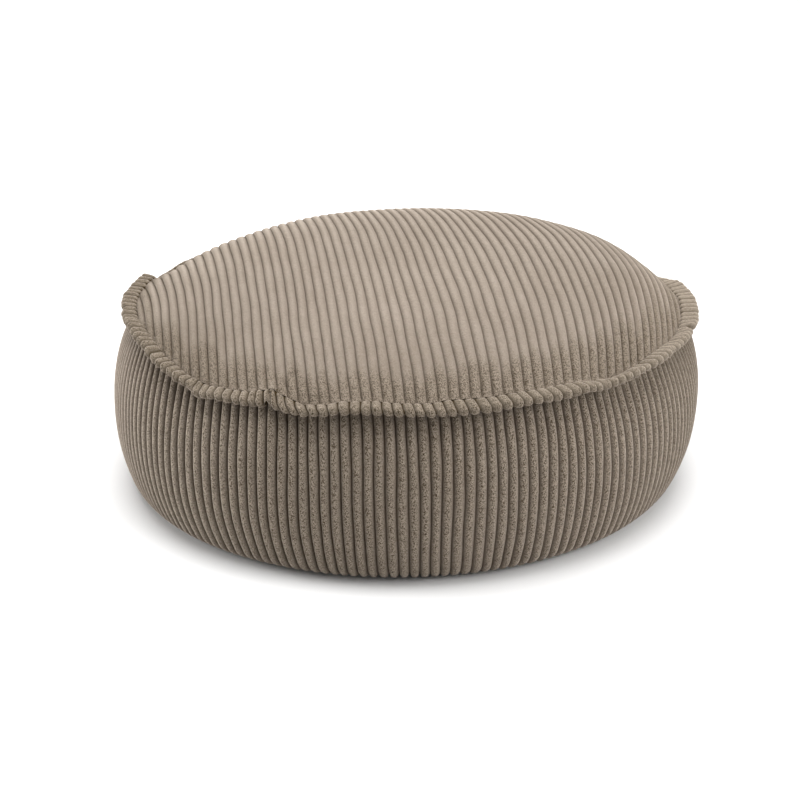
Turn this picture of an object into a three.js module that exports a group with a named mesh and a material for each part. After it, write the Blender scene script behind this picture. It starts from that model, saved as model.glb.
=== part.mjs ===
// Round floor cushion in wide-wale corduroy, with a folded flange in its top seam.
// Millimetres, +Z up. The origin is on the floor under the middle of the widest part, and -Y is the front.
// Angles run counter-clockwise from +X, seen from above.
import * as THREE from 'three';

// ---- driving dimensions ----

// The side band: it bulges above the floor, and draws in to the base and to the top seam.
const BULGE_RADIUS = 300;
const BULGE_HEIGHT = 87;
const BASE_RADIUS = 278.5; // where the side would meet the floor if its bottom edge weren't rolled
const BASE_DRAW = 2.2; // exponent: the higher, the later the side draws in towards the base
const EDGE_ROLL = 15; // height and depth of the rolled bottom edge
const SEAM_DRAW = 2.3; // exponent: the higher, the later the side draws in towards the seam

// The top seam, and the groove in which the root of the flange is sewn.
const SEAM_RADIUS = 275.5;
const SEAM_HEIGHT = 173;
const SEAM_DIP_RIGHT = 4; // the seam lies lower on the right by this, and higher on the left
const GROOVE_HEIGHT = 4.6;
const GROOVE_DEPTH = 4;

// The crown of the top panel: a slight round, a shoulder that turns down steeply at the seam, and a
// shallow hollow where it has been sat on, in mm and as a share of the radius.
const CROWN_ROUND = 14;
const CROWN_SHOULDER = 27;
const SHOULDER_DRAW = 8; // exponent: the higher, the nearer to the seam the crown turns down
const CROWN_HOLLOW = 6;
const HOLLOW_SHARE = 0.5;
const CROWN_LEAN = { right: 0.33, back: 0.25 }; // the filling sits higher to the right and the back,
const CROWN_PLUMP = [ // and it is plump at two angles, in degrees, by these shares
  { at: 15, more: 0.15 },
  { at: 114, more: 0.14 },
];

// The whole cushion leans: its top sits this far to the right and the back of its base.
const LEAN = { right: 8, back: 2.5 };

// The flange: a strip folded in half. Rows of: mm out from the seam, and mm below and above its middle.
// It is thin at its root, full above it and slack below.
const FLANGE_SECTION = [
  { out: -2.4, below: 1.8, above: 1.8 },
  { out: 0, below: 1.5, above: 1.5 },
  { out: 1.5, below: 1.3, above: 1.8 },
  { out: 6, below: 2.6, above: 4.2 },
  { out: 13, below: 4.2, above: 4.2 },
  { out: 17.3, below: 1.8, above: 1.8 },
];
const WIDER_RIGHT = 0.07; // the strip stands out further on the right by this share, and less on the left
const BEND_FROM = -2; // mm out from the seam where the strip starts to turn to its tilt,
const BEND_TO = 2; // and where it has turned
const JOIN_AT = 236; // angle of the place where the two ends of the strip meet, front left
const JOIN_GAP = 0.7; // degrees left open between the two ends

// The course of the flange, in degrees on from its join: how far the seam rises there in mm,
// and how far the flange tilts up (plus) or droops (minus) in degrees.
const COURSE = [
  { on: 0, rise: 1, tilt: -34 },
  { on: 2.5, rise: -3.5, tilt: -16 },
  { on: 4, rise: -6, tilt: -8 },
  { on: 6.5, rise: -9.5, tilt: 2 },
  { on: 10, rise: -7.5, tilt: 2 },
  { on: 15, rise: -1.5, tilt: -5 },
  { on: 20, rise: 0.5, tilt: -6 },
  { on: 25, rise: -1, tilt: -3 },
  { on: 30, rise: -1, tilt: -5 },
  { on: 34, rise: 2, tilt: -18 },
  { on: 40, rise: 2, tilt: -13 },
  { on: 48, rise: 3.5, tilt: -7 },
  { on: 56, rise: 3.5, tilt: -6 },
  { on: 60, rise: 2.5, tilt: 1 },
  { on: 64, rise: -1.5, tilt: 7 },
  { on: 69, rise: -6, tilt: 28 },
  { on: 76, rise: -3, tilt: 21 },
  { on: 82, rise: 1, tilt: 11 },
  { on: 87, rise: 1, tilt: 13 },
  { on: 92, rise: -1.5, tilt: 22 },
  { on: 99, rise: -4, tilt: 25 },
  { on: 107, rise: -0.5, tilt: 7 },
  { on: 112, rise: 2, tilt: 4 },
  { on: 117, rise: 3, tilt: 3 },
  { on: 121, rise: 1, tilt: 7 },
  { on: 125, rise: -1, tilt: 12 },
  { on: 128.5, rise: -2.5, tilt: 15 },
  { on: 132, rise: -5, tilt: 5 },
  { on: 135.5, rise: -5, tilt: -11 },
  { on: 138.5, rise: -3.5, tilt: -36 },
  { on: 144, rise: -3, tilt: -34 },
  { on: 158, rise: -3, tilt: -36 },
  { on: 170, rise: 0, tilt: -36 },
  { on: 268, rise: -2.3, tilt: -36 },
  { on: 276, rise: -4.6, tilt: -36 },
  { on: 280, rise: -6.5, tilt: -35 },
  { on: 282.5, rise: 0.2, tilt: 10 },
  { on: 285, rise: 2.2, tilt: 4 },
  { on: 290, rise: 2, tilt: 4 },
  { on: 298, rise: 3.5, tilt: 11 },
  { on: 306, rise: 4, tilt: 12 },
  { on: 311, rise: 3.5, tilt: 13 },
  { on: 316, rise: 5, tilt: 18 },
  { on: 324, rise: 1.5, tilt: 14 },
  { on: 332, rise: -6, tilt: 8 },
  { on: 339, rise: -12, tilt: 16 },
  { on: 344, rise: -12.5, tilt: -15 },
  { on: 349, rise: -10.5, tilt: -4 },
  { on: 354, rise: -7.5, tilt: -10 },
  { on: 358, rise: -2, tilt: -32 },
  { on: 360, rise: 1, tilt: -44 },
];

// How finely the forms are cut into faces.
const CUSHION_STEPS = 96;
const CROWN_ROWS = 10;
const SIDE_ROWS = 10;
const ROLL_ROWS = 4;

// ---- the seam ----

const radians = THREE.MathUtils.degToRad;

// One column of the course at an angle, eased smoothly from row to row.
function course(angle, column) {
  const on = THREE.MathUtils.euclideanModulo(THREE.MathUtils.radToDeg(angle) - JOIN_AT, 360);
  const next = COURSE.findIndex((row) => row.on > on);
  const from = COURSE[next - 1];
  const to = COURSE[next];
  const ease = THREE.MathUtils.smoothstep(on, from.on, to.on);
  return THREE.MathUtils.lerp(from[column], to[column], ease);
}

// How far the seam stands above its mean height at an angle, straight from step to step of the cushion,
// so that the flange lies evenly in the groove between the steps too.
function seamRise(angle) {
  const step = (angle / (2 * Math.PI)) * CUSHION_STEPS;
  const first = Math.floor(step);
  const [from, to] = [first, first + 1].map((k) => {
    const at = (k / CUSHION_STEPS) * 2 * Math.PI;
    return course(at, 'rise') - SEAM_DIP_RIGHT * Math.cos(at);
  });
  return THREE.MathUtils.lerp(from, to, step - first);
}

// The rise evened out over a few steps to either side, with weights that grow evenly to the middle.
function settledRise(angle) {
  const weights = [1, 2, 3, 4, 3, 2, 1];
  const step = (2 * Math.PI) / CUSHION_STEPS;
  const sum = weights.reduce((total, weight, k) => total + weight * seamRise(angle + (k - 3) * step), 0);
  return sum / weights.reduce((total, weight) => total + weight, 0);
}

// Where the middle of the cushion lies at a height, as a shift in X and Y from the middle of the bulge.
function middle(height) {
  const share = (height - BULGE_HEIGHT) / SEAM_HEIGHT;
  return { x: LEAN.right * share, y: LEAN.back * share };
}

// ---- the cushion: top panel, side band and base panel as one filled form ----

// Radius of the side band at a nominal height between the floor and the seam.
function sideRadius(height) {
  const below = Math.max(0, 1 - height / BULGE_HEIGHT);
  const above = Math.max(0, (height - BULGE_HEIGHT) / (SEAM_HEIGHT - BULGE_HEIGHT));
  const roll = Math.max(0, 1 - height / EDGE_ROLL);
  return BULGE_RADIUS
    - (BULGE_RADIUS - BASE_RADIUS) * below ** BASE_DRAW
    - (BULGE_RADIUS - SEAM_RADIUS) * above ** SEAM_DRAW
    - EDGE_ROLL * (1 - Math.sqrt(1 - roll * roll));
}

// Height of the crown above the seam, at a share of the radius (0 in the middle) and an angle.
function crownHeight(share, angle) {
  const round = CROWN_ROUND - CROWN_HOLLOW * Math.exp(-((share / HOLLOW_SHARE) ** 2));
  const even = round * (1 - share ** 2) + CROWN_SHOULDER * (1 - share ** SHOULDER_DRAW);
  const plump = CROWN_PLUMP.map(({ at, more }) => more * Math.max(0, Math.cos(angle - radians(at))) ** 8);
  const lean = CROWN_LEAN.right * Math.cos(angle) + CROWN_LEAN.back * Math.sin(angle) + plump[0] + plump[1];
  return even * (1 + lean * share);
}

// The profile of the cushion before it leans, as rows from the middle of the base to the middle of the
// crown. A row has its radius, its nominal height, and its kind: side, groove or crown.
function cushionRows() {
  const rows = [{ radius: 0, height: 0, kind: 'side' }];
  for (let k = 0; k < ROLL_ROWS; k += 1) {
    const height = EDGE_ROLL * (1 - Math.cos((k / ROLL_ROWS) * (Math.PI / 2)));
    rows.push({ radius: sideRadius(height), height, kind: 'side' });
  }
  for (let k = 0; k <= SIDE_ROWS; k += 1) {
    const height = THREE.MathUtils.lerp(EDGE_ROLL, SEAM_HEIGHT, k / SIDE_ROWS);
    rows.push({ radius: sideRadius(height), height, kind: 'side' });
  }
  const root = SEAM_RADIUS - GROOVE_DEPTH;
  rows.push({ radius: root, height: SEAM_HEIGHT - GROOVE_HEIGHT / 2, kind: 'groove' });
  rows.push({ radius: root, height: SEAM_HEIGHT + GROOVE_HEIGHT / 2, kind: 'groove' });
  for (let k = CROWN_ROWS; k >= 0; k -= 1) {
    const share = Math.sin((k / CROWN_ROWS) * (Math.PI / 2));
    rows.push({ radius: SEAM_RADIUS * share, height: SEAM_HEIGHT + GROOVE_HEIGHT / 2, kind: 'crown' });
  }
  return rows;
}

// Where a point of a row really lies, at an angle.
function cushionPoint(row, angle) {
  const rise = seamRise(angle);
  const share = row.radius / SEAM_RADIUS;
  const settled = settledRise(angle); // the crown follows this, and the rest of the rise at its edge alone
  const crownRise = settled * share ** 4 + (rise - settled) * share ** 24;
  const height = {
    side: row.height * (1 + (rise - GROOVE_HEIGHT / 2) / SEAM_HEIGHT),
    groove: row.height + rise,
    crown: row.height + crownRise + crownHeight(share, angle),
  }[row.kind];
  const centre = middle(Math.min(row.height, SEAM_HEIGHT));
  return new THREE.Vector3(
    centre.x + row.radius * Math.cos(angle),
    centre.y + row.radius * Math.sin(angle),
    height,
  );
}

// A turned form of the rows, with each point then moved to its real place.
function cushionGeometry() {
  const rows = cushionRows();
  const profile = rows.map((row) => new THREE.Vector2(row.radius, row.height));
  const geometry = new THREE.LatheGeometry(profile, CUSHION_STEPS);
  const position = geometry.getAttribute('position');
  for (let i = 0; i < position.count; i += 1) {
    const step = Math.floor(i / rows.length) % CUSHION_STEPS;
    const point = cushionPoint(rows[i % rows.length], (step / CUSHION_STEPS) * 2 * Math.PI);
    position.setXYZ(i, point.x, point.y, point.z);
  }
  return geometry;
}

// ---- the flange: a folded strip with two ends, all the way round the seam ----

// The closed section of the flange at an angle: out along the lower side, then back along the upper side.
function flangeSection(angle) {
  const tilt = radians(course(angle, 'tilt'));
  const centre = middle(SEAM_HEIGHT);
  const seamHeight = SEAM_HEIGHT + seamRise(angle);
  const place = (out, up) => {
    const turned = tilt * THREE.MathUtils.smoothstep(out, BEND_FROM, BEND_TO);
    const free = Math.max(out, 0) * (1 + WIDER_RIGHT * Math.cos(angle)); // the root lies in its groove
    const reach = SEAM_RADIUS + Math.min(out, 0) + free * Math.cos(tilt) - up * Math.sin(turned);
    return new THREE.Vector3(
      centre.x + reach * Math.cos(angle),
      centre.y + reach * Math.sin(angle),
      seamHeight + free * Math.sin(tilt) + up * Math.cos(turned),
    );
  };
  const lower = FLANGE_SECTION.map(({ out, below }) => place(out, -below));
  const upper = FLANGE_SECTION.map(({ out, above }) => place(out, above));
  return [...lower, ...upper.reverse()];
}

// Skins a list of sections into one closed form, with a strip of faces across each end.
function sweptGeometry(sections) {
  const size = sections[0].length;
  const indices = [];
  const quad = (a, b, c, d) => indices.push(a, b, c, a, c, d);
  for (let i = 0; i < sections.length - 1; i += 1) {
    for (let j = 0; j < size; j += 1) {
      const k = (j + 1) % size;
      quad(i * size + j, (i + 1) * size + j, (i + 1) * size + k, i * size + k);
    }
  }
  const last = (sections.length - 1) * size;
  for (let j = 0; j < size / 2 - 1; j += 1) {
    quad(j, j + 1, size - 2 - j, size - 1 - j);
    quad(last + j, last + size - 1 - j, last + size - 2 - j, last + j + 1);
  }
  const geometry = new THREE.BufferGeometry();
  geometry.setFromPoints(sections.flat());
  geometry.setIndex(indices);
  geometry.computeVertexNormals();
  return geometry;
}

// The angles of its sections: its two ends, and every half step of the cushion between them.
function flangeAngles() {
  const start = JOIN_AT + JOIN_GAP / 2;
  const end = start + 360 - JOIN_GAP;
  const step = 180 / CUSHION_STEPS;
  const angles = [start];
  for (let k = Math.ceil(start / step); k * step < end; k += 1) {
    angles.push(k * step);
  }
  angles.push(end);
  return angles;
}

function flangeGeometry() {
  return sweptGeometry(flangeAngles().map((angle) => flangeSection(radians(angle))));
}

// ---- the object ----

const corduroy = new THREE.MeshStandardMaterial({ color: 0xa3968a, roughness: 0.95, metalness: 0 });
const flangeCorduroy = new THREE.MeshStandardMaterial({ color: 0x978a7d, roughness: 0.95, metalness: 0 });

const cushion = new THREE.Mesh(cushionGeometry(), corduroy);
cushion.name = 'cushion';

const flange = new THREE.Mesh(flangeGeometry(), flangeCorduroy);
flange.name = 'flange';

const floorCushion = new THREE.Group();
floorCushion.add(cushion, flange);

export default floorCushion;
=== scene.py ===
"""A round floor cushion in wide-wale corduroy, with a folded flange sewn into its top seam.

The cushion stands on z = 0 with its middle at x = y = 0, and -Y is its front. Shapes are worked out in
millimetres and reach their meshes in metres. Angles run counter-clockwise from +X, seen from above.
"""

import bmesh
import bpy
import numpy as np
from mathutils import Matrix, Vector


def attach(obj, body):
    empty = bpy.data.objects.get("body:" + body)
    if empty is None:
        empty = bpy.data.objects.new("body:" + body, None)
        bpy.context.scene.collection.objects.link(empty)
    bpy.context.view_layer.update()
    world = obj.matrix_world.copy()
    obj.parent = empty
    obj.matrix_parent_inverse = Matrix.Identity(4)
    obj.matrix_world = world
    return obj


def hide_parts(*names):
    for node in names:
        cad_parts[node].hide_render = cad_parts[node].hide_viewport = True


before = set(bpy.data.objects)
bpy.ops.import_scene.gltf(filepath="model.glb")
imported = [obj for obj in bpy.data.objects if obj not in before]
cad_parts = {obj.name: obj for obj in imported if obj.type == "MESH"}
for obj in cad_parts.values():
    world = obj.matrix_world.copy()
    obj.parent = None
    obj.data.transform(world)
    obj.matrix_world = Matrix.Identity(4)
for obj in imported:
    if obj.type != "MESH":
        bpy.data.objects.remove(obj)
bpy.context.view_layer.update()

# ---- the view ----
# A long lens stands in front of the cushion and a little to its left, and looks down on it.

# Metres, radians, and millimetres for the lens and its sensor.
AIM = Vector((-0.0063, -0.0010, 0.0666))
DISTANCE = 1.8872
AZIMUTH = np.radians(-7.1)
ELEVATION = np.radians(22.34)
ROLL = np.radians(-0.60)
FOCAL_LENGTH = 81.37
SENSOR = 36.0

back = Vector((
    np.sin(AZIMUTH) * np.cos(ELEVATION),
    -np.cos(AZIMUTH) * np.cos(ELEVATION),
    np.sin(ELEVATION),
))
level = Vector((np.cos(AZIMUTH), np.sin(AZIMUTH), 0.0))
upright = back.cross(level)
right = level * np.cos(ROLL) + upright * np.sin(ROLL)
up = upright * np.cos(ROLL) - level * np.sin(ROLL)

camera = bpy.data.objects.new("camera", bpy.data.cameras.new("camera"))
camera.data.lens = FOCAL_LENGTH
camera.data.sensor_width = SENSOR
turned_to = Matrix((right, up, back)).transposed().to_4x4()
camera.matrix_world = Matrix.Translation(AIM + back * DISTANCE) @ turned_to
bpy.context.scene.collection.objects.link(camera)
bpy.context.scene.camera = camera

# ---- the top seam ----
# The top panel, the flange and the side band are sewn together in one seam. It isn't level: the filling
# lifts it in some places, and it has sunk in others, so all three pieces follow the same course.

# Millimetres and degrees. The seam dips to the right, and the whole cushion leans in proportion to height.
SEAM_RADIUS = 275.5
SEAM_HEIGHT = 173.0
SEAM_DIP_RIGHT = 4.0
GROOVE_HEIGHT = 4.6
GROOVE_DEPTH = 4.0
BULGE_HEIGHT = 87.0
LEAN = {"right": 8.0, "back": 2.5}
JOIN_AT = 236.0
SETTLE_STEP = 3.75
SETTLE_WEIGHTS = np.array([1, 2, 3, 4, 3, 2, 1])

# Rows of: degrees on from the join of the flange, rise of the seam in mm, tilt of the flange in degrees.
COURSE = np.array([
    (0, 1, -34), (2.5, -3.5, -16), (4, -6, -8), (6.5, -9.5, 2), (10, -7.5, 2), (15, -1.5, -5),
    (20, 0.5, -6), (25, -1, -3), (30, -1, -5), (34, 2, -18), (40, 2, -13), (48, 3.5, -7), (56, 3.5, -6),
    (60, 2.5, 1), (64, -1.5, 7), (69, -6, 28), (76, -3, 21), (82, 1, 11), (87, 1, 13), (92, -1.5, 22),
    (99, -4, 25), (107, -0.5, 7), (112, 2, 4), (117, 3, 3), (121, 1, 7), (125, -1, 12),
    (128.5, -2.5, 15), (132, -5, 5), (135.5, -5, -11), (138.5, -3.5, -36), (144, -3, -34), (158, -3, -36),
    (170, 0, -36), (268, -2.3, -36), (276, -4.6, -36), (280, -6.5, -35), (282.5, 0.2, 10), (285, 2.2, 4),
    (290, 2, 4), (298, 3.5, 11), (306, 4, 12), (311, 3.5, 13), (316, 5, 18), (324, 1.5, 14),
    (332, -6, 8), (339, -12, 16), (344, -12.5, -15), (349, -10.5, -4), (354, -7.5, -10), (358, -2, -32),
    (360, 1, -44),
], float)
ON, RISE, TILT = range(3)


def ease(share):
    """A smooth step from 0 to 1: 3 s^2 - 2 s^3, with s held between 0 and 1."""
    share = np.clip(share, 0, 1)
    return share * share * (3 - 2 * share)


def course(angle, column):
    """One column of the course at each angle, eased from row to row."""
    on = (np.degrees(angle) - JOIN_AT) % 360
    row = np.clip(np.searchsorted(COURSE[:, ON], on, side="right") - 1, 0, len(COURSE) - 2)
    share = ease((on - COURSE[row, ON]) / (COURSE[row + 1, ON] - COURSE[row, ON]))
    return COURSE[row, column] + (COURSE[row + 1, column] - COURSE[row, column]) * share


def seam_rise(angle):
    """How far the seam stands above its mean height: its course, less a dip to the right."""
    return course(angle, RISE) - SEAM_DIP_RIGHT * np.cos(angle)


def settled_rise(angle):
    """The rise of the seam, evened out over a few degrees to either side: a mean of samples whose weights
    grow evenly to the middle one."""
    steps = np.arange(len(SETTLE_WEIGHTS)) - len(SETTLE_WEIGHTS) // 2
    samples = [seam_rise(angle + np.radians(SETTLE_STEP * step)) for step in steps]
    return sum(weight * rise for weight, rise in zip(SETTLE_WEIGHTS, samples)) / SETTLE_WEIGHTS.sum()


def middle(height):
    """Where the cushion's middle lies at a height: it leans in proportion to the height over the bulge."""
    share = (height - BULGE_HEIGHT) / SEAM_HEIGHT
    return LEAN["right"] * share, LEAN["back"] * share


# ---- corduroy ----
# Wide-wale corduroy: a woven ground with ridges of cut pile, the wales, 10 mm apart. A wale is a soft
# round loaf over 3 mm high, and the grooves between wales are narrow, because the pile spreads over them.

# Millimetres. A mesh has points at the samples, which are shares of a wale, closest in the groove. Points
# nearer to each other than the merge distance, in metres, become one.
WALE_PITCH = 10.26
WALE_DEPTH = 3.4
WALE_SAMPLES = np.array([0.0, 0.05, 0.12, 0.24, 0.4, 0.6, 0.76, 0.88, 0.95])
MERGE_DISTANCE = 1e-7
NOISE_ROWS = 256
FULL_TURN = 2 * np.pi
MM = 0.001


def wale(phase, filled=0.97, flat=2.0):
    """Height of the pile, from 0 in a groove, where the phase is whole, to 1 on the wale between. A wale
    is half an ellipse that fills this share of the pitch, and the rest is bare ground. A power over 2
    flattens the wale's top."""
    across = np.abs(2 * (phase % 1) - 1) / filled
    return np.sqrt(np.maximum(0, 1 - across ** flat))


def ripple(seed, across, along=0.0, around=NOISE_ROWS):
    """Smooth noise from -1 to 1, with its humps about one unit apart: random values on a square lattice,
    eased from each to the next. Each seed gives other values. It repeats after `around` units across."""
    across, along = np.broadcast_arrays(np.asarray(across, float), np.asarray(along, float))
    lattice = np.random.default_rng(seed).uniform(-1, 1, (around, NOISE_ROWS))
    i = np.floor(across).astype(int)
    j = np.floor(along).astype(int)
    s = ease(across - i)
    t = ease(along - j)
    next_i = (i + 1) % around
    next_j = (j + 1) % NOISE_ROWS
    i = i % around
    j = j % NOISE_ROWS
    near = lattice[i, j] * (1 - t) + lattice[i, next_j] * t
    far = lattice[next_i, j] * (1 - t) + lattice[next_i, next_j] * t
    return near * (1 - s) + far * s


def ring_ripple(seed, angle, humps, along=0.0):
    """The same noise along a ring, with a whole number of humps around it, so that it closes."""
    return ripple(seed, angle * humps / FULL_TURN, along, humps)


def sink(surface, p, q, sunk):
    """Points of a surface of two parameters in mm, moved in by `sunk`: the way out is the cross product
    of the surface's steps along its first and its second parameter."""
    step = 0.5
    along_p = surface(p + step, q) - surface(p - step, q)
    along_q = surface(p, q + step) - surface(p, q - step)
    out = np.cross(along_p, along_q)
    out /= np.linalg.norm(out, axis=-1, keepdims=True)
    return surface(p, q) - out * sunk[..., None]


def grid_faces(columns, rows, closed=False):
    """Quads of a grid whose points run row by row within each column. A closed grid joins its last
    column to its first."""
    last = columns if closed else columns - 1
    c, r = np.meshgrid(np.arange(last), np.arange(rows - 1), indexing="ij")
    a = c * rows + r
    b = ((c + 1) % columns) * rows + r
    return np.stack([a, b, b + 1, a + 1], -1).reshape(-1, 4)


def zip_rings(outer, outer_angle, inner, inner_angle):
    """Triangles between two rings of points with different counts: both rings are walked at once by
    angle, and each step along either ring makes a triangle with the point reached on the other."""
    outer_order = np.argsort(outer_angle)
    inner_order = np.argsort(inner_angle)
    outer, outer_angle = outer[outer_order], outer_angle[outer_order]
    inner, inner_angle = inner[inner_order], inner_angle[inner_order]
    outer_next = np.append(outer_angle[1:], outer_angle[0] + FULL_TURN)
    inner_next = np.append(inner_angle[1:], inner_angle[0] + FULL_TURN)
    reached_inner = np.searchsorted(inner_next, outer_next, side="left") % len(inner)
    reached_outer = np.searchsorted(outer_next, inner_next, side="right") % len(outer)
    along_outer = np.stack([outer, inner[reached_inner], np.roll(outer, -1)], -1)
    along_inner = np.stack([inner, np.roll(inner, -1), outer[reached_outer]], -1)
    return np.concatenate([along_outer, along_inner])


def cloth_object(name, points, faces, cloth, pile, opened, length_around):
    """A mesh object with smooth faces, the height of its pile, lowered where shade is painted, and how far it
    stands open as attributes, and a UV map in metres of cloth: U across the wales and V along them. A face
    that spans the place where U starts again takes its low corners one length further on."""
    mesh = bpy.data.meshes.new(name)
    mesh.from_pydata((points * MM).tolist(), [], [face for part in faces for face in part.tolist()])
    for label, values in (("pile", pile), ("opened", opened)):
        attribute = mesh.attributes.new(label, "FLOAT", "POINT")
        attribute.data.foreach_set("value", values.astype(np.float32))
    corner = np.empty(len(mesh.loops), np.int32)
    mesh.loops.foreach_get("vertex_index", corner)
    first = np.empty(len(mesh.polygons), np.int32)
    mesh.polygons.foreach_get("loop_start", first)
    size = np.diff(np.append(first, len(corner)))
    at = cloth[corner]
    furthest = np.repeat(np.maximum.reduceat(at[:, 0], first), size)
    at[furthest - at[:, 0] > length_around / 2, 0] += length_around
    layer = mesh.uv_layers.new(name="cloth")
    layer.data.foreach_set("uv", (at * MM).astype(np.float32).ravel())
    merged = bmesh.new()
    merged.from_mesh(mesh)
    bmesh.ops.remove_doubles(merged, verts=merged.verts, dist=MERGE_DISTANCE)
    merged.to_mesh(mesh)
    merged.free()
    mesh.polygons.foreach_set("use_smooth", np.ones(len(mesh.polygons), bool))
    made = bpy.data.objects.new(name, mesh)
    bpy.context.scene.collection.objects.link(made)
    return made


# ---- top panel ----
# A disc of corduroy with its wales running front to back. The filling crowns it, most to the right and
# the back, and its edge turns down steeply into the seam, which spreads and bends the wales.

# The crown: heights in mm, exponents, and shares. The filling is plump at rows of: degrees, share added.
CROWN_ROUND = 14.0
CROWN_SHOULDER = 27.0
SHOULDER_DRAW = 8.0
CROWN_HOLLOW = 6.0
HOLLOW_SHARE = 0.5
CROWN_LEAN = {"right": 0.33, "back": 0.25}
CROWN_PLUMP = [(15.0, 0.15), (114.0, 0.14)]
PLUMP_DRAW = 8
RISE_DRAW = 4
EDGE_RISE_DRAW = 24

# The wales: a groove lies this far right of the middle, and the wales are flatter than round. In mm, the
# cloth is held straight along its edge, wanders sideways slowly and quickly further in, and sags in
# places. The grooves are shallower, by a share, within a few mm of the seam, where the edge tucks in.
FIRST_GROOVE = 2.0
TOP_FLAT = 2.5
HELD_EDGE = 30.0
WANDER = 0.7
QUICK_WANDER = 0.35
SAG = 0.5
EDGE_DEPTH = 0.45
EDGE_WIDTH = 5.0
DEPTH_VARIES = 0.12
TUCK = 1.4

# The pile stands open where it is brushed back: in a ragged ring along the seam, wider at the front, in mm,
# and on the left flank of each wale. Painted shade darkens the colour in the grooves, beyond the darker
# woven ground, on the left flank of each wale and on the left of the panel. In the ring along the seam the
# darkening is partly the brushed nap and partly painted shade where the edge turns down.
# A gain and a start give how a share eases in towards one side, from the cosine or sine of the angle.
BRUSHED_RING = 12.0
BRUSHED_FRONT = 20.0
BRUSHED_UNEVEN = 10.0
BRUSHED_RAGGED = 8.0
BRUSHED_FADE = 22.0
FRONT_GAIN = 1.5
FRONT_START = -0.1
TOP_OPEN = 0.07
EDGE_OPEN = 0.66
FLANK_OPEN = 0.16
TOP_GROOVE_SHADE = 0.47
BRUSHED_NAP_AND_SHADE = 0.14
FLANK_SHADE = 0.075
LEFT_SHADE = 0.1
LEFT_GAIN = 1.3
LEFT_START = -0.1

# The grid of a round panel: rows, steps along the rim at the sides, and how finely a place on it is found.
PANEL_ROWS = 64
EDGE_STEP = np.radians(1.4)
EDGE_STEPS = 8
RIM_MARGIN = 0.4
WALES_EACH_WAY = 40
SEARCH_REACH = 1.3
SEARCH_POINTS = 20001
HALVINGS = 40

# How far the cloth has drifted off a straight wale, in rows of: mm to the right, power of the wale's
# distance across, power of the distance along it, both as shares of the radius of the seam.
WALE_DRIFT = [
    (-1, 0, 0), (4.2, 0, 1), (-13.7, 0, 2), (-6.4, 0, 3), (0.5, 0, 4),
    (-2.3, 1, 0), (-6.4, 1, 1), (-13.5, 1, 2), (-6.2, 1, 3), (-9, 1, 4),
    (15.1, 2, 0), (-13.6, 2, 1), (-10.2, 2, 2),
    (-12.8, 3, 0), (12.8, 3, 1), (-14.4, 3, 2),
    (-12.2, 4, 0), (-30, 4, 2), (-5, 5, 0),
]


def crown(x, y):
    """The top panel's surface: a round (1 - s^2) and a shoulder (1 - s^8) for a share s of the radius, less
    a slight hollow e^-(s / 0.5)^2 where it has been sat on. All is higher to the right and the back, and
    more so at two angles, where the filling is plump, by cos^8 of the angle from them. Near its edge the
    panel follows the settled rise of the seam by s^4, and the rest of the rise by s^24."""
    share = np.hypot(x, y) / SEAM_RADIUS
    angle = np.arctan2(y, x)
    hollow = CROWN_HOLLOW * np.exp(-(share / HOLLOW_SHARE) ** 2)
    even = (CROWN_ROUND - hollow) * (1 - share ** 2) + CROWN_SHOULDER * (1 - share ** SHOULDER_DRAW)
    lean = CROWN_LEAN["right"] * np.cos(angle) + CROWN_LEAN["back"] * np.sin(angle)
    for at, more in CROWN_PLUMP:
        lean += more * np.maximum(np.cos(angle - np.radians(at)), 0) ** PLUMP_DRAW
    settled = settled_rise(angle)
    rise = settled * share ** RISE_DRAW + (seam_rise(angle) - settled) * share ** EDGE_RISE_DRAW
    height = SEAM_HEIGHT + GROOVE_HEIGHT / 2 + rise + even * (1 + lean * share)
    shift_x, shift_y = middle(SEAM_HEIGHT)
    return np.stack([shift_x + x, shift_y + y, height], -1)


def wale_line(cloth, y):
    """Where a line along the cloth lies, `cloth` mm from the middle of the panel, once it has drifted."""
    across = cloth / SEAM_RADIUS
    along = y / SEAM_RADIUS
    return cloth + sum(drift * across ** p * along ** q for drift, p, q in WALE_DRIFT)


def line_end(cloth, radius, line, side):
    """How far forward (side -1) or back (side 1) a line runs before it meets a circle, by halving."""
    low = np.zeros_like(cloth)
    high = np.full_like(cloth, radius)
    for _ in range(HALVINGS):
        half = (low + high) / 2
        inside = line(cloth, side * half) ** 2 + half ** 2 < radius ** 2
        low = np.where(inside, half, low)
        high = np.where(inside, high, half)
    return side * low


def disc_grid(radius, line, samples, rows):
    """The cloth and the y of a grid over a round panel. Its columns lie at the samples of every wale, and
    closer at the two sides, where the edge runs along the wales; its rows crowd towards the edge."""
    fine = np.linspace(-SEARCH_REACH * radius, SEARCH_REACH * radius, SEARCH_POINTS)
    wales = np.arange(-WALES_EACH_WAY, WALES_EACH_WAY)
    cloth = (FIRST_GROOVE + WALE_PITCH * (wales[:, None] + samples)).ravel()
    rim = radius * np.cos(EDGE_STEP * np.arange(EDGE_STEPS))
    cloth = cloth[np.abs(line(cloth, 0.0)) < rim[-1] - RIM_MARGIN]
    sides = np.interp(np.concatenate([-rim, rim]), line(fine, 0.0), fine)
    cloth = np.unique(np.concatenate([cloth, sides]))
    front = line_end(cloth, radius, line, -1)[:, None]
    rear = line_end(cloth, radius, line, 1)[:, None]
    share = np.sin(np.linspace(-1, 1, rows) * np.pi / 2)
    y = (front + rear) / 2 + (rear - front) / 2 * share
    return np.broadcast_to(cloth[:, None], y.shape), y


def disc_ring(x, y):
    """The points round the edge of such a grid and their angles: along its front and back along its rear."""
    index = np.arange(x.size).reshape(x.shape)
    ring = np.concatenate([index[:, 0], index[1:-1, -1]])
    return ring, np.arctan2(y.ravel()[ring], x.ravel()[ring]) % FULL_TURN


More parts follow.
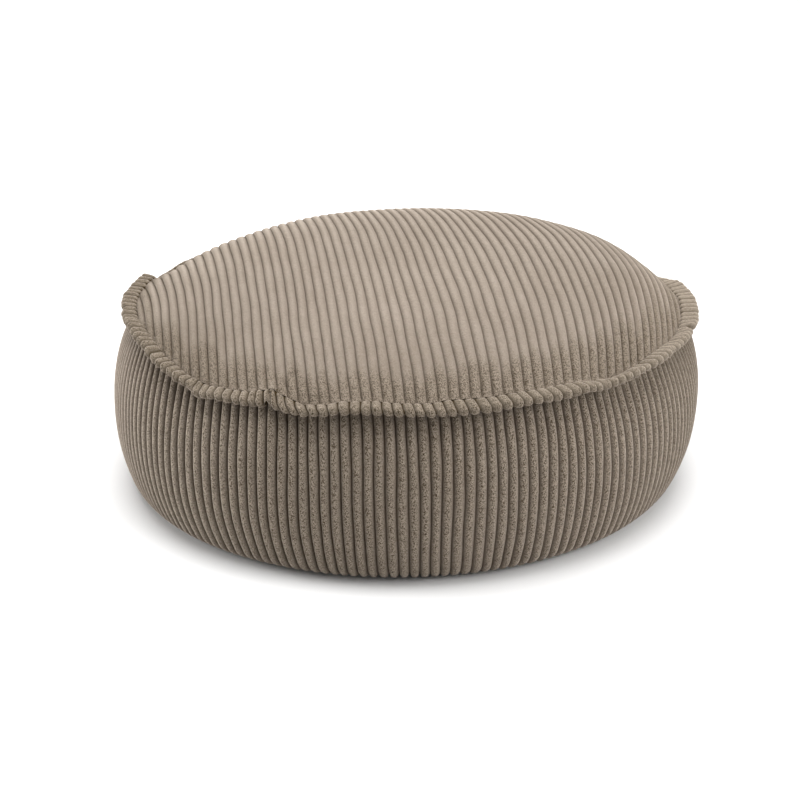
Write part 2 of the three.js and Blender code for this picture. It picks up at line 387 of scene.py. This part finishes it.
# The divisors in a ripple are the lengths of its humps, in mm.
cloth, y = disc_grid(SEAM_RADIUS, wale_line, WALE_SAMPLES, PANEL_ROWS)
x = wale_line(cloth, y)
ring, ring_angle = disc_ring(x, y)
from_seam = SEAM_RADIUS - np.hypot(x, y)
free = ease(from_seam / HELD_EDGE)
x = x + free * (WANDER * ripple(11, cloth / 30, y / 60) + QUICK_WANDER * ripple(12, cloth / 9, y / 34))
pile = wale((cloth - FIRST_GROOVE) / WALE_PITCH, flat=TOP_FLAT)
depth = WALE_DEPTH * (EDGE_DEPTH + (1 - EDGE_DEPTH) * ease(from_seam / EDGE_WIDTH))
depth = depth * (1 + DEPTH_VARIES * ripple(13, cloth / 10, y / 40))
sag = SAG * free * (1 + ripple(14, cloth / 70, y / 80))
points = sink(crown, x, y, depth * (1 - pile) + sag).reshape(-1, 3)
front = ease(FRONT_START - FRONT_GAIN * y / np.hypot(x, y))
reach = BRUSHED_RING + BRUSHED_FRONT * front + BRUSHED_UNEVEN * ripple(15, cloth / WALE_PITCH)
reach = reach + BRUSHED_RAGGED * ripple(16, cloth / 3, y / 18)
brushed = ease((reach - from_seam) / BRUSHED_FADE + 0.5)
left_flank = np.maximum(0, np.sin(FULL_TURN * (cloth - FIRST_GROOVE) / WALE_PITCH))
opened = TOP_OPEN + (EDGE_OPEN - TOP_OPEN) * brushed + FLANK_OPEN * left_flank
# Painted shade, carried in the pile attribute: darker into the grooves, on the left of the panel, on the left
# flank of each wale, and, together with the brushed nap, in the ring along the seam.
shade_to_left = ease(LEFT_START - LEFT_GAIN * x / SEAM_RADIUS)
shaded = 1 - (1 - pile) * TOP_GROOVE_SHADE - LEFT_SHADE * shade_to_left
shaded = shaded - BRUSHED_NAP_AND_SHADE * brushed - FLANK_SHADE * left_flank
tucked = points[ring] - TUCK * np.stack([np.cos(ring_angle), np.sin(ring_angle), 0 * ring_angle + 1], -1)
tuck = points.shape[0] + np.arange(len(ring))
order = np.argsort(ring_angle)
# The tucked edge takes a pile of 0, so it is painted the dark of the ground, as shade in the seam.
top_panel = {
    "points": np.concatenate([points, tucked]),
    "cloth": np.stack([cloth, y], -1).reshape(-1, 2)[np.append(np.arange(len(points)), ring)],
    "pile": np.append(shaded.ravel(), 0 * ring_angle),
    "opened": np.append(opened.ravel(), 0 * ring_angle),
    "faces": grid_faces(*x.shape),
    "tuck_faces": np.stack([
        ring[order], tuck[order], np.roll(tuck[order], -1), np.roll(ring[order], -1),
    ], -1),
    "ring": tuck,
    "ring_angle": ring_angle,
}

# ---- side band ----
# A straight strip of corduroy with its wales upright, sewn into a ring. The filling bulges it; its lower
# edge rolls under to the base, and its upper edge is eased into the top seam, where it puckers.

# The band's section: radii and heights in mm, exponents, and how many rows of points it has.
BULGE_RADIUS = 300.0
BASE_RADIUS = 278.5
BASE_DRAW = 2.2
EDGE_ROLL = 15.0
SEAM_DRAW = 2.3
BASE_CREASE = 2.0
TURNED_IN = 1.0
SIDE_ROWS = 22
ROLL_ROWS = 6

# Its wales, in degrees round the band: they lean, more at the two sides and more steeply with distance from
# the bulge, bend opposite ways at the top right and the top left, spread in slow waves, and wander.
WALES_AROUND = 184
BAND_LEAN = 0.6
LEAN_AT_SIDES = 1.3
LEAN_STEEPENS = 0.4
TOP_BEND = 3.0
BAND_SPREAD = 1.2
BAND_WANDER = 0.16
WANDER_QUICKLY = 0.5

# Their depth in mm, and as shares of it: the mean all round, what is added to the left, and what is left
# at the seam. To the left they are also fuller and flatter. Near the seam the band puckers, in mm.
BAND_DEPTH = 4.0
MEAN_DEPTH = 0.95
DEEPER_LEFT = 0.3
SEAM_DEPTH = 0.5
SEAM_WIDTH = 6.0
BAND_DEPTH_VARIES = 0.1
BAND_FILLED = 0.92
FULLER_LEFT = 0.03
BAND_FLAT = 2.0
FLATTER_LEFT = 1.1
PUCKER = 1.1
PUCKERS = 75
PUCKER_START = 4.0
PUCKER_LENGTH = 40.0

# How far its pile stands open, at the sides and the front, most at one place across each wale, and the
# painted shade that darkens its colour: in the grooves, beyond the darker woven ground, more so to the
# left, on the left flank of each wale, and to the right.
SIDES_OPEN = 0.2
FRONT_OPEN = 0.95
BAND_FRONT_GAIN = 1.2
BAND_FRONT_START = 0.2
BAND_BRUSHED = 0.7
BRUSHED_ACROSS = 0.3
BRUSHED_MOST_AT = 0.4
BAND_GROOVE_SHADE = 0.66
GROOVE_SHADE_TO_LEFT = 0.5
BAND_FLANK_SHADE = 0.07
RIGHT_SHADE = 0.17
RIGHT_GAIN = 3.0
RIGHT_START = -2.0


def side_radius(height):
    """Radius of the band at a height: the bulge, less a power curve down to the base and another up to
    the seam, less the quarter round of the rolled edge."""
    below = np.clip(1 - height / BULGE_HEIGHT, 0, 1)
    above = np.clip((height - BULGE_HEIGHT) / (SEAM_HEIGHT - BULGE_HEIGHT), 0, 1)
    roll = np.clip(1 - height / EDGE_ROLL, 0, 1)
    return (
        BULGE_RADIUS
        - (BULGE_RADIUS - BASE_RADIUS) * below ** BASE_DRAW
        - (BULGE_RADIUS - SEAM_RADIUS) * above ** SEAM_DRAW
        - EDGE_ROLL * (1 - np.sqrt(1 - roll ** 2))
    )


def band(around, height):
    """The side band's surface, at mm around the bulge and a height: it is stretched in proportion where
    the seam rises or sinks."""
    angle = around / BULGE_RADIUS
    radius = side_radius(height)
    shift_x, shift_y = middle(height)
    stretch = 1 + (seam_rise(angle) - GROOVE_HEIGHT / 2) / SEAM_HEIGHT
    return np.stack([
        shift_x + radius * np.cos(angle),
        shift_y + radius * np.sin(angle),
        height * stretch,
    ], -1)


def band_ring(angle, radius, height, rises):
    """One ring of the band's turned-in edges, level or following the rise of the seam."""
    shift_x, shift_y = middle(height)
    level = height + rises * seam_rise(angle)
    return np.stack([shift_x + radius * np.cos(angle), shift_y + radius * np.sin(angle), level], -1)[:, None]


rolled = EDGE_ROLL * (1 - np.cos(np.linspace(0, 1, ROLL_ROWS, endpoint=False) * np.pi / 2))
share = np.linspace(0, 1, SIDE_ROWS)
share = (share + np.sin(share * np.pi / 2)) / 2
heights = np.concatenate([rolled, EDGE_ROLL + (SEAM_HEIGHT - EDGE_ROLL) * share])
turn = FULL_TURN * (np.arange(WALES_AROUND)[:, None] + WALE_SAMPLES).ravel() / WALES_AROUND
angle, height = np.meshgrid(turn, heights, indexing="ij")
from_seam = SEAM_HEIGHT - height
over_bulge = height / BULGE_HEIGHT - 1
twist = np.radians(BAND_LEAN + LEAN_AT_SIDES * np.cos(angle) ** 2)
twist *= over_bulge + LEAN_STEEPENS * over_bulge ** 3
twist -= np.radians(TOP_BEND) * np.cos(angle) * np.maximum(over_bulge, 0) ** 3
spread = np.radians(BAND_SPREAD) * ring_ripple(21, angle, 9)
wander = ring_ripple(22, angle, 60, height / 50)
wander += WANDER_QUICKLY * ring_ripple(23, angle, WALES_AROUND, height / 30)
turned = angle + spread - twist + np.radians(BAND_WANDER) * wander
to_left = ease(-np.cos(angle))
filled = BAND_FILLED + FULLER_LEFT * to_left
pile = wale(angle * WALES_AROUND / FULL_TURN, filled, BAND_FLAT + FLATTER_LEFT * to_left)
depth = BAND_DEPTH * (MEAN_DEPTH - DEEPER_LEFT * np.cos(angle))
depth *= SEAM_DEPTH + (1 - SEAM_DEPTH) * ease(from_seam / SEAM_WIDTH)
depth *= 1 + BAND_DEPTH_VARIES * ring_ripple(24, angle, WALES_AROUND, height / 40)
pucker = PUCKER * (1 + ring_ripple(25, angle, PUCKERS))
pucker *= ease(from_seam / PUCKER_START) * ease(1 - from_seam / PUCKER_LENGTH)
side = sink(band, turned * BULGE_RADIUS, height, depth * (1 - pile) + pucker)
root_radius = SEAM_RADIUS - GROOVE_DEPTH
side = np.concatenate([
    band_ring(turned[:, 0], side_radius(0) - TURNED_IN, BASE_CREASE, 0),
    side,
    band_ring(turned[:, -1], root_radius, SEAM_HEIGHT - GROOVE_HEIGHT / 2, 1),
    band_ring(turned[:, -1], root_radius, SEAM_HEIGHT + GROOVE_HEIGHT / 2, 1),
], 1)
columns, rows = side.shape[:2]
index = np.arange(columns * rows).reshape(columns, rows)
level = np.concatenate([height[:, :1], height, height[:, -1:], height[:, -1:]], 1)
shown = np.concatenate([pile[:, :1], pile, pile[:, :1], pile[:, :1]], 1)
around = np.repeat(angle[:, :1], rows, 1)
front = ease(BAND_FRONT_START - BAND_FRONT_GAIN * np.sin(around))
brushed = BAND_BRUSHED + BRUSHED_ACROSS * np.cos(around * WALES_AROUND - FULL_TURN * BRUSHED_MOST_AT)
left_flank = np.maximum(0, np.sin(around * WALES_AROUND))
# Painted shade, carried in the pile attribute: darker grooves, more so to the left, a darker right side, and
# a darker left flank on each wale.
shaded = 1 - (1 - shown) * (BAND_GROOVE_SHADE - GROOVE_SHADE_TO_LEFT * np.cos(around))
shaded -= RIGHT_SHADE * ease(RIGHT_START + RIGHT_GAIN * np.cos(around)) + BAND_FLANK_SHADE * left_flank
side_band = {
    "points": side.reshape(-1, 3),
    "cloth": np.stack([around * BULGE_RADIUS, level], -1).reshape(-1, 2),
    "pile": shaded.ravel(),
    "opened": (brushed * shown * (SIDES_OPEN + (FRONT_OPEN - SIDES_OPEN) * front)).ravel(),
    "faces": grid_faces(columns, rows, closed=True),
    "base_ring": index[:, 0],
    "base_angle": turned[:, 0] % FULL_TURN,
    "seam_ring": index[:, -1],
    "seam_angle": turned[:, -1] % FULL_TURN,
}

# ---- base panel ----
# A flat disc of the same corduroy, joined to the band by a plain seam that draws in a little. It takes
# the weight, so it lies flat and its wales touch the floor.

BASE_SAMPLES = np.array([0.0, 0.15, 0.5, 0.85])
BASE_ROWS = 16
BASE_EDGE = side_radius(0) - 2 * TURNED_IN
CREASE_WIDTH = 6.0


def straight_line(cloth, y):
    """On the base the cloth lies unstretched, so a line of it is straight."""
    return cloth + 0 * y


def base(x, y):
    """The base panel's surface: the floor's plane, rising by the depth of the crease at its edge. Its
    second parameter runs forwards, so that the way out is down."""
    inward = BASE_EDGE - np.hypot(x, y)
    shift_x, shift_y = middle(0)
    return np.stack([shift_x + x, shift_y - y, BASE_CREASE * (1 - ease(inward / CREASE_WIDTH))], -1)


cloth, y = disc_grid(BASE_EDGE, straight_line, BASE_SAMPLES, BASE_ROWS)
ring, ring_angle = disc_ring(cloth, -y)
pile = wale((cloth - FIRST_GROOVE) / WALE_PITCH)
from_edge = BASE_EDGE - np.hypot(cloth, y)
base_panel = {
    "points": sink(base, cloth, y, WALE_DEPTH * (1 - pile) * ease(from_edge / EDGE_WIDTH)).reshape(-1, 3),
    "cloth": np.stack([cloth, y], -1).reshape(-1, 2),
    "pile": pile.ravel(),
    "opened": np.full(pile.size, SIDES_OPEN),
    "faces": grid_faces(*cloth.shape),
    "ring": ring,
    "ring_angle": ring_angle,
}

# ---- the pile ----
# Taupe polyester corduroy: cut, brushed pile about 3 mm long that stands on a darker woven ground. It
# looks light where it is seen along its lie. Into the grooves and where it is brushed back its colour is
# darkened, partly for the ground and the nap and partly as painted shade.

# The scale of each pattern in humps a metre, from its size in mm. Single tufts of 0.5 mm are too fine to
# show, so the flecks are drawn two or three times as coarse, and lie at a slant. Tufts cling together in
# clumps, streaks run along the wales, and patches are where the pile has been stroked. The relief of the
# clumps is in metres.
FLECKS = 1 / (MM * np.array([1.0204, 1.6129, 1.3158]))
FLECK_SLANT = (0.5, 0.6, 0.4)
CLUMPS = 1 / (MM * 4.348)
STREAKS = 1 / (MM * np.array([9.091, 45.45, 1000.0]))
PATCHES = 1 / (MM * 90.9)
CLUMP_RELIEF = 0.0016
# The ground's colour serves both as the woven ground and as painted shade in the grooves.
GROUND_AND_SHADE_COLOUR = "#312510"
OPEN_DARK = "#352B1C"
OPEN_LIGHT = "#8F8375"
SHEEN_COLOUR = "#FFF0E0"
SHEEN = 0.5


def linear(code):
    """Linear colour of an sRGB hex value: ((c + 0.055) / 1.055)^2.4, or c / 12.92 for dark values."""
    c = np.array([int(code[i:i + 2], 16) for i in (1, 3, 5)]) / 255
    return tuple(np.where(c > 0.04045, ((c + 0.055) / 1.055) ** 2.4, c / 12.92)) + (1.0,)


def add_node(tree, kind, sockets=(), **settings):
    """Adds a node, with its settings, and its sockets set to a value or linked to another's output."""
    node = tree.nodes.new(kind)
    for name, value in settings.items():
        setattr(node, name, value)
    for socket, value in dict(sockets).items():
        if isinstance(value, bpy.types.NodeSocket):
            tree.links.new(value, node.inputs[socket])
        else:
            node.inputs[socket].default_value = value
    return node


def corduroy_pile(name, pile_light, pile_dark):
    """The finish of the cloth: two tones of pile, mixed by flecks, clumps, streaks and patches. Where it
    stands open it is speckled. Where its pile attribute is low, in the grooves and wherever painted shade is
    carried, it darkens to the colour of the woven ground and painted shade, and loses its sheen."""
    material = bpy.data.materials.new(name)
    material.use_nodes = True
    tree = material.node_tree
    tree.nodes.clear()
    place = add_node(tree, "ShaderNodeTexCoord").outputs["Object"]
    cloth_map = add_node(tree, "ShaderNodeUVMap", uv_map="cloth").outputs["UV"]
    pile_and_shade = add_node(tree, "ShaderNodeAttribute", attribute_name="pile").outputs["Fac"]
    opened = add_node(tree, "ShaderNodeAttribute", attribute_name="opened").outputs["Fac"]

    slanted = add_node(tree, "ShaderNodeMapping", {"Vector": place, "Rotation": FLECK_SLANT, "Scale": FLECKS})
    along_wale = add_node(tree, "ShaderNodeMapping", {"Vector": cloth_map, "Scale": STREAKS})
    fleck, clump, streak, patch = [
        add_node(tree, "ShaderNodeTexNoise", {
            "Vector": vector, "Scale": scale, "Detail": detail, "Roughness": 0.6, "Distortion": distortion,
        }).outputs["Fac"]
        for vector, scale, detail, distortion in (
            (slanted.outputs["Vector"], 1.0, 1.5, 0.6),
            (place, CLUMPS, 3.0, 0.6),
            (along_wale.outputs["Vector"], 1.0, 4.0, 0.0),
            (place, PATCHES, 2.0, 0.0),
        )
    ]

    # The nap lies one way and another. Noise keeps close to 0.5, so its middle takes all the tones. A Mix
    # node's sockets go by number: 0 is the share, 2 and 3 are its numbers, 6 and 7 its colours.
    fine = add_node(tree, "ShaderNodeMix", {0: 0.6, 2: fleck, 3: clump})
    wide = add_node(tree, "ShaderNodeMix", {0: 0.5, 2: streak, 3: patch})
    lie = add_node(tree, "ShaderNodeMix", {0: 0.55, 2: fine.outputs[0], 3: wide.outputs[0]})
    tone = add_node(tree, "ShaderNodeMapRange", {"Value": lie.outputs[0], "From Min": 0.36, "From Max": 0.64})
    nap = add_node(tree, "ShaderNodeMix", {
        0: tone.outputs["Result"], 6: linear(pile_dark), 7: linear(pile_light),
    }, data_type="RGBA")

    # Open pile shows the dark between its tufts, and a groove shows the ground. The pile attribute also
    # carries painted shade, which darkens the colour the same way.
    gap = add_node(tree, "ShaderNodeMapRange", {"Value": fleck, "From Min": 0.40, "From Max": 0.58})
    speckle = add_node(tree, "ShaderNodeMix", {
        0: gap.outputs["Result"], 6: linear(OPEN_DARK), 7: linear(OPEN_LIGHT),
    }, data_type="RGBA")
    brushed = add_node(tree, "ShaderNodeMix", {
        0: opened, 6: nap.outputs[2], 7: speckle.outputs[2],
    }, data_type="RGBA")
    groove = add_node(tree, "ShaderNodeMapRange", {"Value": pile_and_shade, "From Min": 0.98, "From Max": 0.1})
    colour = add_node(tree, "ShaderNodeMix", {
        0: groove.outputs["Result"], 6: brushed.outputs[2], 7: linear(GROUND_AND_SHADE_COLOUR),
    }, data_type="RGBA")
    sheen = add_node(tree, "ShaderNodeMix", {0: groove.outputs["Result"], 2: SHEEN, 3: 0.0})

    # The tufts stand up most where the pile is open.
    tufts = add_node(tree, "ShaderNodeMix", {0: 0.45, 2: fleck, 3: clump})
    standing = add_node(tree, "ShaderNodeMix", {0: 0.35, 2: opened, 3: 1.0})
    relief = add_node(tree, "ShaderNodeMath", {
        0: tufts.outputs[0], 1: standing.outputs[0],
    }, operation="MULTIPLY")
    bump = add_node(tree, "ShaderNodeBump", {
        "Height": relief.outputs["Value"], "Strength": 0.8, "Distance": CLUMP_RELIEF,
    })
    shader = add_node(tree, "ShaderNodeBsdfPrincipled", {
        "Base Color": colour.outputs[2],
        "Roughness": 0.95,
        "Specular IOR Level": 0.15,
        "Sheen Weight": sheen.outputs[0],
        "Sheen Roughness": 0.4,
        "Sheen Tint": linear(SHEEN_COLOUR),
        "Normal": bump.outputs["Normal"],
    })
    add_node(tree, "ShaderNodeOutputMaterial", {"Surface": shader.outputs["BSDF"]})
    return material


# ---- the cover ----
# The three panels sewn together round the filling: one closed form. The seams lie out of sight, at the
# back of the groove that holds the flange and in the crease round the base.

band_first = len(top_panel["points"])
base_first = band_first + len(side_band["points"])
cover = cloth_object(
    "corduroy_cover",
    np.concatenate([part["points"] for part in (top_panel, side_band, base_panel)]),
    [
        top_panel["faces"],
        top_panel["tuck_faces"],
        side_band["faces"] + band_first,
        base_panel["faces"] + base_first,
        zip_rings(
            top_panel["ring"], top_panel["ring_angle"],
            side_band["seam_ring"] + band_first, side_band["seam_angle"],
        ),
        zip_rings(
            side_band["base_ring"] + band_first, side_band["base_angle"],
            base_panel["ring"] + base_first, base_panel["ring_angle"],
        ),
    ],
    np.concatenate([part["cloth"] for part in (top_panel, side_band, base_panel)]),
    np.concatenate([part["pile"] for part in (top_panel, side_band, base_panel)]),
    np.concatenate([part["opened"] for part in (top_panel, side_band, base_panel)]),
    FULL_TURN * BULGE_RADIUS,
)
cover.data.materials.append(corduroy_pile("taupe_corduroy_pile", "#83796F", "#6D6257"))
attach(cover, "root")
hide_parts("cushion")

# ---- flange ----
# A strip of the same corduroy, its wales running across it, folded in half along its length and sewn by
# both edges into the top seam. Over the fold every wale becomes a round bead, and the strip twists, folds
# and gathers on its way round. Its two ends meet at the front left.

# The strip's section in mm: its reach out of the seam, a share wider to the right, half its thickness, and
# its thin root in the groove. The tilt and the creases come in over these lengths outside the seam.
FLANGE_REACH = 17.3
FLANGE_HALF = 4.2
WIDER_RIGHT = 0.07
ROOT_HALF = 1.8
ROOT_REACH = 2.4
ROOT_ROUND = 6.0
ROOT_SLACK = 12.0
TILT_FROM = -2.0
TILT_OVER = 4.0
DRAWN_OVER = 8.0
FACE_POINTS = 9
NOSE_POINTS = 6

# Its beads: the gap between its two ends in degrees, grooves and woven ground in mm, how much of the pitch a
# bead fills at its end and how much more beyond its rounded end, and a slant that is less underneath.
WALES_IN_STRIP = 185
JOIN_GAP = 0.35
BEAD_SAMPLES = np.array([0.0, 0.05, 0.13, 0.25, 0.38, 0.5, 0.62, 0.75, 0.87, 0.95])
BEAD_DEPTH = 3.4
ROOT_DEPTH = 0.8
DEEPENS_OVER = 7.0
GROUND = 0.6
END_SUNK = 0.5
ROUNDED_END = 5.0
END_FILLED = 0.3
MORE_FILLED = 0.67
SLANT_BELOW = 0.2

# No two beads are the same: spreads of their size and place in mm, unevenness of the grooves in mm, and
# waves and spread of their widths, as shares. The beads are bigger at one place: degrees on, mm, half width.
BEAD_SIZES = 0.35
BEAD_PLACES = 0.4
BEAD_UNEVEN = 0.25
WIDTH_WAVES = 0.07
WIDTHS = 0.03
BIG_BEADS = (50, 0.8, 14)

# How far the pile stands open on the beads, less to the right, and the painted shade that darkens their
# grooves, beyond the darker woven ground, and the strip away from the right.
BEAD_OPEN = 0.95
CLOSED_RIGHT = 0.5
BEAD_GROOVE_SHADE = 0.8
SHADED_DARK = 0.19

# How the beads lie, in rows of: degrees on from the join, slant of the grooves in degrees, and mm that
# each bead leans over the next one on.
BEADS_LIE = np.array([
    (0, 22, -1), (4, 30, -1), (10, 24, -1), (18, 6, 0), (28, 8, 1), (38, 6, 2), (58, 2, 2.2), (98, 0, 2),
    (128, 0, 0),
    (288, 0, 0), (318, 4, -1), (336, 12, -1.5), (348, 26, -1.5), (360, 20, -1),
])
SLANT, OVERHANG = 1, 2

# Where the strip is gathered or stretched, in rows of: degrees on from the join, share added to the width
# of a wale, half width in degrees.
GATHERS = [(0, -0.25, 3), (360, -0.2, 4), (63, -0.18, 3), (212, -0.19, 40), (302, 0.3, 16), (122, 0.22, 12)]

# Folds pressed across the strip, in rows of: degrees on from the join, mm drawn in, half width in degrees.
CREASES = np.array([
    (0, 4, 1.3), (64.5, 2, 1.2), (86, 2.5, 1.2), (100.5, 6, 1.3), (133.5, 2, 0.8), (305, 3, 1.3),
    (342, 2.5, 1.1),
])


def bump_at(on, middle_at, half_width):
    """A smooth hump of height 1, that falls to 0.37 at its half width to either side."""
    return np.exp(-((on - middle_at) / half_width) ** 2)


def strip_section(along):
    """The flange's section at a distance in mm along it, from its tip, negative on the lower face: a round
    nose, a face, and a shoulder down to the thin root, round above and slack below. Returns how far out and
    how far up it lies."""
    nose = FLANGE_HALF * np.pi / 2
    distance = np.abs(along)
    bend = np.minimum(distance, nose) / FLANGE_HALF
    centre = FLANGE_REACH - FLANGE_HALF
    out = centre + FLANGE_HALF * np.cos(bend) - np.maximum(distance - nose, 0)
    to_root = np.clip(1 - out / ROOT_ROUND, 0, 1)
    filled = np.where(along > 0, np.sqrt(1 - to_root ** 2), ease(out / ROOT_SLACK))
    half = ROOT_HALF + (FLANGE_HALF - ROOT_HALF) * filled
    return out, np.sign(along) * half * np.sin(bend)


def strip(around, along):
    """The flange's surface, at mm around the seam and mm from its tip along its section. Beyond the seam
    the section is turned by the tilt of the course, and drawn in at the creases; its root lies level in
    the groove."""
    angle = around / SEAM_RADIUS
    out, up = strip_section(along)
    tilt = np.radians(course(angle, TILT))
    on = (np.degrees(angle) - JOIN_AT) % 360
    drawn = sum(inward * bump_at(on, at, half_width) for at, inward, half_width in CREASES)
    free = np.maximum(out, 0) * (1 + WIDER_RIGHT * np.cos(angle)) - drawn * ease(out / DRAWN_OVER)
    turned = tilt * ease((out - TILT_FROM) / TILT_OVER)
    reach = SEAM_RADIUS + np.minimum(out, 0) + free * np.cos(tilt) - up * np.sin(turned)
    height = SEAM_HEIGHT + seam_rise(angle) + free * np.sin(tilt) + up * np.cos(turned)
    shift_x, shift_y = middle(SEAM_HEIGHT)
    return np.stack([
        shift_x + reach * np.cos(angle),
        shift_y + reach * np.sin(angle),
        height,
    ], -1)


centre_reach = FLANGE_REACH - FLANGE_HALF
face_length = centre_reach + ROOT_REACH
nose_length = FLANGE_HALF * np.pi / 2
outer_half = np.concatenate([
    nose_length * np.linspace(0, 1, NOSE_POINTS, endpoint=False),
    nose_length + centre_reach * np.sin(np.linspace(0, 1, FACE_POINTS) * np.pi / 2),
    [nose_length + face_length],
])
inner_half = np.append(nose_length * np.array([0.5, 1.0]), nose_length + face_length * np.array([0.5, 1.0]))
outer = np.concatenate([-outer_half[:0:-1], outer_half])
inner = np.concatenate([inner_half[::-1], -inner_half])
section = np.concatenate([outer, inner])
inside = np.arange(len(section))[:, None] >= len(outer)

# Noise along the strip counts in wales, and across it in mm.
wales = np.arange(WALES_IN_STRIP)
rng = np.random.default_rng(31)
on_wale = 360 * (wales + 0.5) / WALES_IN_STRIP
bead_size = rng.normal(0, BEAD_SIZES, WALES_IN_STRIP)
big_at, bigger, big_half = BIG_BEADS
bead_size += bigger * bump_at(on_wale, big_at, big_half)
bead_shift = rng.normal(0, BEAD_PLACES, WALES_IN_STRIP)
width = 1 + sum(more * bump_at(on_wale, at, half_width) for at, more, half_width in GATHERS)
width += WIDTH_WAVES * ripple(32, wales / 5) + rng.normal(0, WIDTHS, WALES_IN_STRIP)
edge = np.append(0, np.cumsum(width)) / width.sum()
number = np.append(np.repeat(wales, len(BEAD_SAMPLES)), WALES_IN_STRIP - 1)
phase = np.append(np.tile(BEAD_SAMPLES, WALES_IN_STRIP), 1.0)
on = np.radians(JOIN_GAP / 2 + (360 - JOIN_GAP) * (edge[number] + (edge[number + 1] - edge[number]) * phase))

along, angle = np.meshgrid(section, np.radians(JOIN_AT) + on, indexing="ij")
out = strip_section(along)[0]
to_end = np.clip((out + END_SUNK) / ROUNDED_END, 0, 1)
pile = wale(phase, END_FILLED + MORE_FILLED * np.sqrt(1 - (1 - to_end) ** 2))
slant = np.radians(np.interp(np.degrees(on), BEADS_LIE[:, ON], BEADS_LIE[:, SLANT]))
overhang = np.interp(np.degrees(on), BEADS_LIE[:, ON], BEADS_LIE[:, OVERHANG])
lean = (bead_shift[number] + overhang) * pile
lean -= np.tan(slant) * np.where(along > 0, along, SLANT_BELOW * along)
depth = ROOT_DEPTH + (BEAD_DEPTH - ROOT_DEPTH) * ease(out / DEEPENS_OVER)
uneven = BEAD_UNEVEN * ripple(33, along / 9, number / 1.3) * ease(out / DEEPENS_OVER)
relief = (depth + uneven) * (1 - pile) - bead_size[number] * pile * ease(out / DRAWN_OVER)
points = sink(strip, angle * SEAM_RADIUS + lean, along, np.where(inside, depth + GROUND, relief))
columns, rows = along.shape
end = (np.arange(columns) * rows)[None]
# Painted shade, carried in the pile attribute: darker in the grooves between beads and away from the right.
# The inside of the fold is painted the dark of the ground, as shade.
shaded = 1 - BEAD_GROOVE_SHADE * (1 - pile) - SHADED_DARK * (1 - np.maximum(np.cos(angle), 0))
flange = cloth_object(
    "flange_strip",
    points.reshape(-1, 3),
    [grid_faces(columns, rows, closed=True)[:, ::-1], end[:, ::-1], end + rows - 1],
    np.stack([(number + phase) * WALE_PITCH * np.ones_like(along), along], -1).reshape(-1, 2),
    np.where(inside, 0, shaded).ravel(),
    (BEAD_OPEN * (1 - CLOSED_RIGHT * np.maximum(np.cos(angle), 0)) * pile ** 2).ravel(),
    FULL_TURN * BULGE_RADIUS,
)
# The strip's copy of the corduroy is painted lighter than the cover's, as painted light on the flange.
flange.data.materials.append(corduroy_pile("taupe_corduroy_folded_painted_lighter", "#948A7D", "#7A6F62"))
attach(flange, "root")
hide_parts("flange")

# ---- the studio ----
# A pale floor far wider than the view, a wide soft panel of light overhead, soft panels to the right, the
# front right and the left, one that lights the floor behind, and a little light from all round.

# Metres, and the strength of the light from all round.
FLOOR_HALF = 20.0
FLOOR_AT = -0.0005
WORLD_LIGHT = 0.3

floor_mesh = bpy.data.meshes.new("floor")
floor_corners = [(FLOOR_HALF * x, FLOOR_HALF * y, 0) for x, y in ((-1, -1), (1, -1), (1, 1), (-1, 1))]
floor_mesh.from_pydata(floor_corners, [], [(0, 1, 2, 3)])
floor = bpy.data.objects.new("floor", floor_mesh)
floor.location.z = FLOOR_AT
bpy.context.scene.collection.objects.link(floor)
paint = bpy.data.materials.new("matt_white_floor")
paint.use_nodes = True
paint.node_tree.nodes["Principled BSDF"].inputs["Base Color"].default_value = (0.8, 0.8, 0.8, 1.0)
paint.node_tree.nodes["Principled BSDF"].inputs["Roughness"].default_value = 1.0
paint.node_tree.nodes["Principled BSDF"].inputs["Specular IOR Level"].default_value = 0.0
floor_mesh.materials.append(paint)

MIDDLE = (0.0, 0.0, 0.1)

# Rows of: name, place in metres, the point it faces, width in metres, power in watts.
PANELS = [
    ("overhead_panel", (0.0, 0.3, 3.0), MIDDLE, 3.0, 162.0),
    ("right_panel", (2.9, -0.9, 1.9), MIDDLE, 1.8, 42.0),
    ("front_right_panel", (2.4, -2.4, 2.0), MIDDLE, 2.0, 57.0),
    ("left_panel", (-2.8, 1.0, 0.6), MIDDLE, 1.4, 89.0),
    ("floor_panel", (0.0, 3.2, 2.2), (0.0, 6.0, 0.0), 1.5, 45.0),
]
for name, place, lit_point, width_of_panel, power in PANELS:
    light = bpy.data.lights.new(name, "AREA")
    light.shape = "SQUARE"
    light.size = width_of_panel
    light.energy = power
    panel = bpy.data.objects.new(name, light)
    panel.location = place
    panel.rotation_euler = (Vector(lit_point) - Vector(place)).to_track_quat("-Z", "Y").to_euler()
    bpy.context.scene.collection.objects.link(panel)

world = bpy.data.worlds.new("studio_walls")
world.use_nodes = True
world.node_tree.nodes["Background"].inputs["Color"].default_value = (1.0, 1.0, 1.0, 1.0)
world.node_tree.nodes["Background"].inputs["Strength"].default_value = WORLD_LIGHT
bpy.context.scene.world = world
bpy.context.scene.view_settings.view_transform = "Standard"
